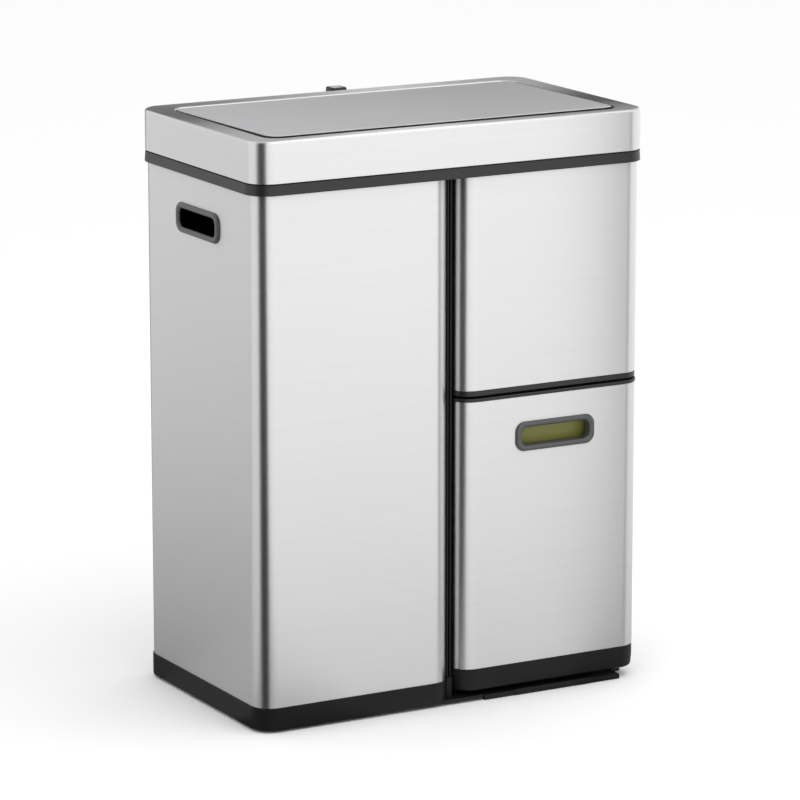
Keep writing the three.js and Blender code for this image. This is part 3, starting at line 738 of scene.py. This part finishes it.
def add_softening(obj: bpy.types.Object, width: float, segments: int, angle: float) -> None:
    """Adds a small bevel and weighted normals.

    Args:
        obj: The mesh object.
        width: Width of the bevel.
        segments: Steps of the bevel.
        angle: Edges sharper than this many degrees are bevelled.
    """
    bevel = obj.modifiers.new("edge_round", "BEVEL")
    bevel.width = width
    bevel.segments = segments
    bevel.limit_method = "ANGLE"
    bevel.angle_limit = math.radians(angle)
    bevel.use_clamp_overlap = True
    even = obj.modifiers.new("even_shading", "WEIGHTED_NORMAL")
    even.mode = "FACE_AREA_WITH_ANGLE"
    even.keep_sharp = True


def smooth_welder() -> bpy.types.NodeTree:
    """A modifier tree that welds a CAD mesh's split corners and shades it smooth.

    Returns:
        The node tree.
    """
    tree = bpy.data.node_groups.new("weld_and_smooth", "GeometryNodeTree")
    tree.interface.new_socket("Geometry", in_out="INPUT", socket_type="NodeSocketGeometry")
    tree.interface.new_socket("Geometry", in_out="OUTPUT", socket_type="NodeSocketGeometry")
    start = tree.nodes.new("NodeGroupInput")
    weld = tree.nodes.new("GeometryNodeMergeByDistance")
    weld.inputs["Distance"].default_value = 1e-6
    smooth = tree.nodes.new("GeometryNodeSetShadeSmooth")
    end = tree.nodes.new("NodeGroupOutput")
    tree.links.new(start.outputs[0], weld.inputs["Geometry"])
    tree.links.new(weld.outputs["Geometry"], smooth.inputs["Geometry"])
    tree.links.new(smooth.outputs["Geometry"], end.inputs[0])
    return tree


# ---- Steel shells --------------------------------------------------------------------------------


@dataclass(frozen=True)
class SteelShell:
    """A steel wrap with hemmed ends, a folded seam at the back and a window for a handle."""

    node: str
    body: Body
    radius: float = 0.028
    hem: float = 0.0009
    seam_width: float = 0.011
    seam_rise: float = 0.0005

    def rings(self) -> list[Ring]:
        """The wall's section: outside up, over the top hem, inside down.

        Returns:
            The rings.
        """
        low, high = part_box(self.node)
        plan = Plan.of_node(self.node, self.radius)
        inner = plan.grow(-SHEET)
        hem = self.hem
        return [
            (plan.grow(-hem * 0.5), low.z),
            (plan.grow(-hem * 0.15), low.z + hem * 0.35),
            (plan, low.z + hem),
            (plan, high.z - hem),
            (plan.grow(-hem * 0.15), high.z - hem * 0.35),
            (plan.grow(-hem * 0.5), high.z),
            (inner.grow(-hem * 0.5), high.z),
            (inner, high.z - hem),
            (inner, low.z + hem),
            (inner.grow(-hem * 0.5), low.z),
        ]

    def build(self, steel: bpy.types.Material, window: Optional["HandleInsert"]) -> None:
        """Makes the shell and its seam.

        Args:
            steel: The finish.
            window: The handle that the wall is open for.
        """
        shell = Piece.loft(self.node + "_skin", self.rings(), closed=True)
        if window is not None:
            shell.cut(window.window_tool())
        shell.soften(0.00012, 1).dress(steel, self.body, Slot.STEEL, self.node)
        low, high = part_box(self.node)
        middle = (low.x + high.x) / 2
        half = self.seam_width / 2
        y = high.y
        section = [(middle - half, y), (middle + half, y), (middle + half * 0.86, y + self.seam_rise),
                   (middle - half * 0.86, y + self.seam_rise)]
        seam = Piece.prism(self.node + "_seam", section, low.z + 0.004, high.z - 0.004)
        seam.soften(0.0002, 2).dress(steel, self.body, Slot.STEEL)


# ---- Handle inserts ------------------------------------------------------------------------------


class Wall(Enum):
    """The wall a handle is let into: its direction along the wall and its outward normal."""

    LEFT = (Vector((0, -1, 0)), Vector((-1, 0, 0)))
    RIGHT = (Vector((0, 1, 0)), Vector((1, 0, 0)))
    FRONT = (Vector((1, 0, 0)), Vector((0, -1, 0)))


@dataclass(frozen=True)
class HandleInsert:
    """A moulded grip let into a wall: a rounded bezel and a cup, or an open sleeve, behind it."""

    node: str
    wall: Wall
    body: Body
    depth: float
    closed: bool
    bezel_radius: float = 0.014
    grip_length: float = 0.106
    grip_height: float = 0.025
    grip_radius: float = 0.009
    sleeve_wall: float = 0.0025
    proud: float = 0.004
    bezel_steps: int = 14

    def placement(self) -> Matrix:
        """Where the insert's own frame sits: its origin is on the steel, in the middle of the grip."""
        low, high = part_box(self.node)
        along, normal = self.wall.value
        middle = (low + high) / 2
        outermost = max(low.dot(normal), high.dot(normal))
        place = middle + normal * (outermost - self.proud - middle.dot(normal))
        return facing(along, normal, place)

    def plans(self) -> tuple[Plan, Plan, Plan]:
        """The bezel's, the grip's and the sleeve's plans.

        Returns:
            The three plans.
        """
        low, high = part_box(self.node)
        span = high - low
        length = max(span.x, span.y)
        bezel = Plan.centred(length, span.z, self.bezel_radius)
        grip = Plan.centred(self.grip_length, self.grip_height, self.grip_radius)
        return bezel, grip, grip.grow(self.sleeve_wall)

    def rings(self) -> list[Ring]:
        """The insert's section, from the back of the sleeve over the bezel and down into the grip.

        Returns:
            The rings.
        """
        bezel, grip, sleeve = self.plans()
        section = [(sleeve, -self.depth), (sleeve, FIT), (bezel, FIT)]
        for i in range(1, self.bezel_steps):
            angle = i / self.bezel_steps * math.pi
            inward = (1 - math.cos(angle)) / 2
            section.append((bezel.towards(grip, inward), FIT + (self.proud - FIT) * math.sin(angle)))
        if not self.closed:
            return section + [(grip, -self.depth)]
        floor = self.sleeve_wall - self.depth
        fillet = 0.003
        section.append((grip, floor + fillet))
        section += [(grip.grow(-fillet * (1 - math.cos(a))), floor + fillet * (1 - math.sin(a)))
                    for a in (math.pi / 8, math.pi / 4, 3 * math.pi / 8, math.pi / 2)]
        return section

    def window_tool(self) -> Piece:
        """The cutter that opens a steel wall for the sleeve.

        Returns:
            The cutter.
        """
        sleeve = self.plans()[2].grow(FIT)
        reach = 0.004
        return Piece.loft(self.node + "_window", [(sleeve, -reach), (sleeve, reach)], turn=self.placement())

    def build(self, plastic: bpy.types.Material) -> None:
        """Makes the insert.

        Args:
            plastic: The finish.
        """
        insert = Piece.loft(self.node + "_grip", self.rings(), closed=not self.closed, turn=self.placement())
        insert.soften(0.0002, 2, 40.0).dress(plastic, self.body, Slot.GREY, self.node)


# ---- Buckets -------------------------------------------------------------------------------------


@dataclass(frozen=True)
class Bucket:
    """A tapered liner bucket with a rounded flange and a step under it."""

    node: str
    body: Body
    slot: Slot
    radius: float = 0.024
    flange: float = 0.008
    flange_thickness: float = 0.003
    draft: float = 0.014
    wall: float = 0.0022
    foot_round: float = 0.006
    step: float = 0.0012
    step_height: float = 0.035

    def rings(self) -> list[Ring]:
        """The bucket's section: outside from foot to flange, then down the inside.

        Returns:
            The rings.
        """
        low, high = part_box(self.node)
        plan = Plan.of_node(self.node, self.radius)
        top = plan.grow(-self.flange)
        foot = plan.grow(-self.flange - self.draft)
        under = high.z - self.flange_thickness
        section = rounded(foot, low.z, self.foot_round, upper=False)
        section += [(top.grow(-self.step), under - self.step_height), (top, under - self.step_height + 0.001),
                    (top, under), (plan, under)]
        section += rounded(plan, high.z, 0.0015)
        lip = top.grow(-self.wall)
        section += [(lip.grow(0.001), high.z), (lip, high.z - 0.001)]
        section += [(lip, under - self.step_height), (lip.grow(-self.step), under - self.step_height - 0.001)]
        inner = foot.grow(-self.wall)
        floor = low.z + self.wall
        section += [(inner.grow(0.0002), floor + 0.008), (inner.grow(-0.002), floor + 0.0024),
                    (inner.grow(-0.007), floor)]
        return section

    def build(self, plastic: bpy.types.Material) -> None:
        """Makes the bucket.

        Args:
            plastic: The finish.
        """
        bucket = Piece.loft(self.node + "_moulding", self.rings())
        bucket.soften(0.0003, 2, 40.0).dress(plastic, self.body, self.slot, self.node)


# ---- Head ----------------------------------------------------------------------------------------


@dataclass(frozen=True)
class Head:
    """The steel rim round the lid opening and the button behind it."""

    corner: float = 0.0315
    rim_round: float = 0.004
    side_strip: float = 0.032
    front_strip: float = 0.0225
    back_strip: float = 0.0335
    opening_radius: float = 0.022
    lip_round: float = 0.0035
    lip_depth: float = 0.014
    pin_clearance: float = 0.0035
    pin_reach: float = 0.02
    foot_gap: float = 0.0012
    button_cap: float = 0.008
    button_round: float = 0.0022
    pad_inset: float = 0.0035

    def opening(self) -> Plan:
        """The lid opening's plan."""
        outer = Plan.of_node("head_rim", self.corner)
        return Plan(outer.x0 + self.side_strip, outer.x1 - self.side_strip, outer.y0 + self.front_strip,
                    outer.y1 - self.back_strip, self.opening_radius)

    def rim_rings(self) -> list[Ring]:
        """The rim's section: up the outer wall, over the top, down the rolled lip and back inside.

        Returns:
            The rings.
        """
        low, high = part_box("head_rim")
        outer = Plan.of_node("head_rim", self.corner)
        inner = outer.grow(-SHEET)
        opening = self.opening()
        foot = low.z + self.foot_gap
        section = [(outer.grow(-0.0004), foot), (outer, foot + 0.0008)]
        section += rounded(outer, high.z, self.rim_round)
        for i in range(EDGE_STEPS + 1):
            angle = i / EDGE_STEPS * math.pi / 2
            section.append((opening.grow(self.lip_round * (1 - math.sin(angle))),
                            high.z - self.lip_round * (1 - math.cos(angle))))
        behind = opening.grow(SHEET)
        section += [(opening, high.z - self.lip_depth), (behind, high.z - self.lip_depth),
                    (behind, high.z - self.lip_round), (opening.grow(self.lip_round), high.z - SHEET)]
        section += rounded(inner, high.z - SHEET, self.rim_round - SHEET)[::-1]
        section.append((inner, foot))
        return section

    def build(self, palette: Palette) -> None:
        """Makes the rim and the button.

        Args:
            palette: The finishes.
        """
        rim = Piece.loft("steel_rim", self.rim_rings(), closed=True)
        opening = self.opening()
        pin = (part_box("hinge_pin_left")[0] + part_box("hinge_pin_left")[1]) / 2
        for side in (-1, 1):
            x = opening.x1 * side
            turn = facing(Vector((0, 1, 0)), Vector((1, 0, 0)), Vector((x, pin.y, pin.z)))
            rim.cut(Piece.prism("pin_hole", pin_circle(self.pin_clearance), -self.pin_reach, self.pin_reach, turn))
        rim.soften(0.00012, 1).dress(palette.top_steel, Body.CABINET, Slot.STEEL, "head_rim")
        self.build_button(palette)

    def build_button(self, palette: Palette) -> None:
        """Makes the release button: a rounded cap on a stem, with a soft pad let into its top.

        Args:
            palette: The finishes.
        """
        low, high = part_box("release_button")
        plan = Plan.of_node("release_button", 0.004)
        foot = high.z - self.button_cap
        well = plan.grow(-self.pad_inset)
        section = rounded(plan, foot, 0.0008, upper=False, steps=3) + rounded(plan, high.z, self.button_round)
        section += [(well.grow(0.0003), high.z), (well, high.z - 0.0003), (well, high.z - 0.0009)]
        cap = Piece.loft("release_button_cap", section)
        stem_half = 0.005
        middle = (low.x + high.x) / 2
        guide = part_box("release_guide")[0].y
        stem = Plan(middle - stem_half, middle + stem_half, guide + 0.0045, guide + 0.0125, 0.001)
        cap.join(Piece.loft("stem", [(stem, low.z), (stem, foot + 0.001)]))
        cap.soften(0.0002, 2, 40.0).dress(palette.collar_black, Body.BUTTON, Slot.BLACK, "release_button")
        pad_plan = well.grow(-0.0003)
        pad = Piece.loft("release_button_pad", [(pad_plan, high.z - 0.0009), (pad_plan, high.z - 0.0006)]
                         + rounded(pad_plan, high.z - 0.0001, 0.0004, steps=3))
        pad.soften(0.0001, 1, 40.0).dress(palette.silver, Body.BUTTON, Slot.BLACK)


@dataclass(frozen=True)
class Lid:
    """The inset lid's steel skin and a black bead round it that fills the gap with painted shade."""

    radius: float = 0.0185
    edge_round: float = 0.0022
    tilt: float = 0.5
    bead: float = 0.0026
    bead_depth: float = 0.0065
    bead_drop: float = 0.0006
    bead_round: float = 0.0008
    rear_bead: float = 0.0003
    pin_hole: float = 0.0029
    pin_reach: float = 0.04

    def build(self, palette: Palette) -> None:
        """Makes the skin and the bead.

        Args:
            palette: The finishes.
        """
        low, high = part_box("lid_panel")
        plan = Plan.of_node("lid_panel", self.radius)
        under = plan.grow(-SHEET)
        inside = rounded(under, high.z - SHEET, self.edge_round - SHEET)[::-1]
        section = inside + [(under, low.z), (plan, low.z)] + rounded(plan, high.z, self.edge_round, steps=8)
        pin_left, pin_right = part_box("hinge_pin_left"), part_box("hinge_pin_right")
        hinge = (pin_left[0] + pin_left[1]) / 2
        pivot = Vector((0.0, hinge.y, hinge.z))
        tip = Matrix.Rotation(math.radians(-self.tilt), 4, "X")
        lean = Matrix.Translation(pivot) @ tip @ Matrix.Translation(-pivot)
        skin = Piece.loft("lid_skin", section, turn=lean)
        # The black bead stands in for the shade in the gap round the lid: painted shade, wide at the front and sides,
        # nearly nothing at the back.
        gap_shade_plan = plan.grow(self.bead)
        gap_shade_plan = Plan(gap_shade_plan.x0, gap_shade_plan.x1, gap_shade_plan.y0, plan.y1 + self.rear_bead, gap_shade_plan.r)
        gap_shade_foot, gap_shade_top = high.z - self.bead_depth, high.z - self.bead_drop
        ring = [(plan, gap_shade_foot), (gap_shade_plan, gap_shade_foot)] + rounded(gap_shade_plan, gap_shade_top, self.bead_round, steps=4)
        ring.append((plan, gap_shade_top))
        bead = Piece.loft("lid_gap_shade_bead", ring, closed=True, turn=lean)
        bead.soften(0.0001, 1, 40.0).dress(palette.black, Body.LID, Slot.BLACK)
        for pin in (pin_left, pin_right):
            middle = (pin[0] + pin[1]) / 2
            turn = facing(Vector((0, 1, 0)), Vector((1, 0, 0)), middle)
            skin.cut(Piece.prism("pin_hole", pin_circle(self.pin_hole), -self.pin_reach, self.pin_reach, turn))
        skin.soften(0.00012, 1).dress(palette.lid_steel, Body.LID, Slot.STEEL, "lid_panel")


# ---- Nodes that keep their CAD shape -------------------------------------------------------------


@dataclass(frozen=True)
class KeptNodes:
    """CAD nodes whose shape is right: they get softened edges and a finish."""

    edge: float = 0.0004
    fine_edge: float = 0.00015
    fine: tuple[str, ...] = ("lift_spring", "drawer_magnet", "latch_striker")
    smooth_black: tuple[str, ...] = ("head_collar", "drawer_rim", "upper_right_floor")

    def build(self, palette: Palette) -> None:
        """Dresses every node that no piece stands for.

        Args:
            palette: The finishes.
        """
        welder = smooth_welder()
        slots = {row["node"]: Slot(row["material_slot"]) for row in frame["record"]["subparts"]}
        for name, node in frame["nodes"].items():
            material = palette.for_slot(slots[name])
            if name in self.smooth_black:
                material = palette.collar_black
            node.data.materials.clear()
            node.data.materials.append(material)
            if node.hide_render:
                continue
            node.modifiers.new("weld", "NODES").node_group = welder
            flat = node.modifiers.new("flat_faces", "DECIMATE")
            flat.decimate_type = "DISSOLVE"
            flat.angle_limit = math.radians(0.5)
            is_fine = name in self.fine or "screw" in name or "pin" in name
            add_softening(node, self.fine_edge if is_fine else self.edge, 2, 32.0)
            LOG.info("%s: kept with finish %s", name, material.name)


# ---- Studio --------------------------------------------------------------------------------------


@dataclass(frozen=True)
class SoftLight:
    """A rectangular soft light that looks at a point."""

    name: str
    azimuth: float
    elevation: float
    distance: float
    width: float
    height: float
    power: float
    aim: tuple[float, float, float] = (0.0, 0.0, 0.4)

    def build(self) -> None:
        """Makes the light."""
        data = bpy.data.lights.new(self.name, "AREA")
        data.shape = "RECTANGLE"
        data.size, data.size_y = self.width, self.height
        data.energy = self.power
        light = bpy.data.objects.new(self.name, data)
        bpy.context.scene.collection.objects.link(light)
        back = direction(self.azimuth, self.elevation)
        light.location = Vector(self.aim) + back * self.distance
        light.rotation_mode = "QUATERNION"
        light.rotation_quaternion = (-back).to_track_quat("-Z", "Y")


@dataclass(frozen=True)
class TentPanel:
    """One upright panel of the light tent round the bin, with a strip of floor; only reflections show it."""

    name: str
    start: float
    end: float
    low: float
    high: float
    radius: float = 2.0
    height: float = 1.3
    rise: float = 2.4
    cap: float = 0.55
    floor_start: float = 0.22
    floor_lift: float = 0.0012
    thickness: float = 0.004
    floor_share: float = 0.5

    def build(self) -> None:
        """Makes the panel."""
        shape = bmesh.new()
        steps = max(2, round((self.end - self.start) / 5))
        profile = [(self.floor_start, self.floor_lift), (self.radius, self.floor_lift), (self.radius, self.height),
                   (self.radius + self.thickness, self.height), (self.radius + self.thickness, 0.0),
                   (self.floor_start, 0.0)]
        loops = []
        for i in range(steps + 1):
            outward = direction(self.start + (self.end - self.start) * i / steps, 0.0)
            loops.append([shape.verts.new((outward.x * r, outward.y * r, z)) for r, z in profile])
        for one, other in zip(loops, loops[1:]):
            for k in range(len(profile)):
                m = (k + 1) % len(profile)
                shape.faces.new((one[k], one[m], other[m], other[k]))
        shape.faces.new(loops[0][::-1])
        shape.faces.new(loops[-1])
        panel = Piece.from_bmesh(self.name, shape, None)
        panel.obj.data.materials.append(self.cloth())
        show_in_reflections_only(panel.obj)

    def cloth(self) -> bpy.types.Material:
        """Lit cloth that is brighter towards its top; its floor strip is darker near the bin, a painted contact
        shadow of the bin.

        Returns:
            The material.
        """
        graph = NodeGraph(self.name + "_cloth")
        place = graph.add("ShaderNodeSeparateXYZ")
        graph.link(graph.place, place.inputs["Vector"])
        flat = graph.add("ShaderNodeCombineXYZ")
        graph.link(place.outputs["X"], flat.inputs["X"])
        graph.link(place.outputs["Y"], flat.inputs["Y"])
        reach = graph.add("ShaderNodeVectorMath", operation="LENGTH")
        graph.link(flat.outputs["Vector"], reach.inputs[0])
        # Glow grows with distance from the bin, so the floor strip carries a painted contact shadow.
        along = graph.add("ShaderNodeMapRange", From_Min=self.floor_start, From_Max=self.radius,
                          To_Max=self.floor_share)
        graph.link(reach.outputs["Value"], along.inputs["Value"])
        lit = (1.0 - self.floor_share) * self.cap / self.rise
        up = graph.add("ShaderNodeMapRange", From_Max=self.cap, To_Max=lit)
        graph.link(place.outputs["Z"], up.inputs["Value"])
        level = graph.add("ShaderNodeMapRange", To_Min=self.low, To_Max=self.high)
        graph.link(graph.combine("ADD", along.outputs["Result"], up.outputs["Result"]), level.inputs["Value"])
        glow = graph.add("ShaderNodeEmission")
        graph.link(level.outputs["Result"], glow.inputs["Strength"])
        graph.link(glow.outputs["Emission"], graph.output.inputs["Surface"])
        return graph.material


@dataclass(frozen=True)
class ShadeCard:
    """An upright card that dims a strip of the tent; only reflections show it."""

    name: str
    start: tuple[float, float]
    end: tuple[float, float]
    height: float
    level: float

    def build(self) -> None:
        """Makes the card."""
        one, other = Vector(self.start), Vector(self.end)
        across = (other - one).orthogonal().normalized() * 0.004
        outline = [tuple(one), tuple(other), tuple(other + across), tuple(one + across)]
        card = Piece.prism(self.name, outline, 0.002, self.height)
        graph = NodeGraph(self.name + "_cloth")
        glow = graph.add("ShaderNodeEmission", Strength=self.level)
        graph.link(glow.outputs["Emission"], graph.output.inputs["Surface"])
        card.obj.data.materials.append(graph.material)
        show_in_reflections_only(card.obj)


def show_in_reflections_only(obj: bpy.types.Object) -> None:
    """Hides a studio card from the camera, soft light and shadows."""
    for ray in ("visible_camera", "visible_diffuse", "visible_shadow", "visible_transmission"):
        setattr(obj, ray, False)


def direction(azimuth: float, elevation: float) -> Vector:
    """The unit vector from the bin towards a point of view.

    Args:
        azimuth: Degrees round from the front, towards +X.
        elevation: Degrees above the horizon.

    Returns:
        The vector.
    """
    a, e = math.radians(azimuth), math.radians(elevation)
    return Vector((math.sin(a) * math.cos(e), -math.cos(a) * math.cos(e), math.sin(e)))


@dataclass(frozen=True)
class Studio:
    """Floor, lights and camera."""

    azimuth: float = -29.17
    elevation: float = 12.66
    distance: float = 6.064
    lens: float = 199.1
    target: tuple[float, float, float] = (0.0112, -0.011, 0.3887)
    floor_half: float = 30.0
    sky: float = 1.1

    def build(self) -> None:
        """Makes the camera, the floor and the lights."""
        self.build_camera()
        self.build_floor()
        self.build_sky()
        SoftLight("overhead_softbox", 30.0, 62.0, 2.6, 2.4, 2.4, 18.0).build()
        for panel in (
            TentPanel("tent_back_left", -168.0, -112.0, 0.16, 1.5),
            TentPanel("tent_left", -112.0, -71.0, 0.3, 1.9),
            TentPanel("tent_camera_gap", -71.0, -34.0, 0.0, 0.01, height=4.0),
            TentPanel("tent_front", -34.0, 46.0, 0.52, 2.28),
            TentPanel("tent_right_gap", 44.0, 54.0, 0.1, 0.35, height=3.0),
            TentPanel("tent_right", 54.0, 130.0, 0.5, 1.8),
            TentPanel("tent_back_right", 130.0, 146.0, 0.05, 0.03, height=3.2),
            TentPanel("tent_back", 146.0, 192.0, 0.22, 0.16, height=3.2),
        ):
            panel.build()
        ShadeCard("right_shade", (0.44, -0.488), (0.546, -0.401), 1.2, 0.55).build()

    def build_camera(self) -> None:
        """Makes the camera at the viewing angle."""
        data = bpy.data.cameras.new("camera")
        data.lens = self.lens
        data.sensor_width = 36.0
        data.clip_end = 200.0
        camera = bpy.data.objects.new("camera", data)
        bpy.context.scene.collection.objects.link(camera)
        back = direction(self.azimuth, self.elevation)
        camera.location = Vector(self.target) + back * self.distance
        camera.rotation_mode = "QUATERNION"
        camera.rotation_quaternion = (-back).to_track_quat("-Z", "Y")
        bpy.context.scene.camera = camera

    def build_floor(self) -> None:
        """Makes the pale floor, just under the feet."""
        half = self.floor_half
        outline = [(-half, -half), (half, -half), (half, half), (-half, half)]
        floor = Piece.prism("floor", outline, -0.02, 0.0)
        floor.obj.data.materials.append(FloorPaint().make())

    def build_sky(self) -> None:
        """Makes the even surrounding light."""
        world = bpy.data.worlds.new("soft_room")
        world.use_nodes = True
        background = world.node_tree.nodes["Background"]
        background.inputs["Color"].default_value = (1.0, 1.0, 1.0, 1.0)
        background.inputs["Strength"].default_value = self.sky
        bpy.context.scene.world = world


# ---- The bin -------------------------------------------------------------------------------------


def main() -> None:
    """Builds the studio and every sub-assembly in order."""
    logging.basicConfig(level=logging.INFO, format="%(name)s: %(message)s")
    bpy.context.scene.view_settings.view_transform = "Standard"
    Studio().build()
    palette = Palette.make()
    left_grip = HandleInsert("carry_handle_left", Wall.LEFT, Body.CABINET, 0.028, True)
    right_grip = HandleInsert("carry_handle_right", Wall.RIGHT, Body.CABINET, 0.028, True)
    drawer_grip = HandleInsert("drawer_handle", Wall.FRONT, Body.DRAWER, 0.010, False)
    for grip in (left_grip, right_grip, drawer_grip):
        grip.build(palette.grey)
    SteelShell("left_shell", Body.CABINET).build(palette.wall_steel, left_grip)
    SteelShell("upper_right_shell", Body.CABINET).build(palette.wall_steel, right_grip)
    SteelShell("drawer_shell", Body.DRAWER).build(palette.wall_steel, drawer_grip)
    Bucket("left_bucket", Body.CABINET, Slot.BUCKET).build(palette.bucket)
    Bucket("upper_right_bucket", Body.CABINET, Slot.BUCKET).build(palette.bucket)
    Bucket("drawer_bucket", Body.DRAWER, Slot.OLIVE).build(palette.olive)
    Head().build(palette)
    Lid().build(palette)
    KeptNodes().build(palette)


if __name__ == "__main__":
    main()
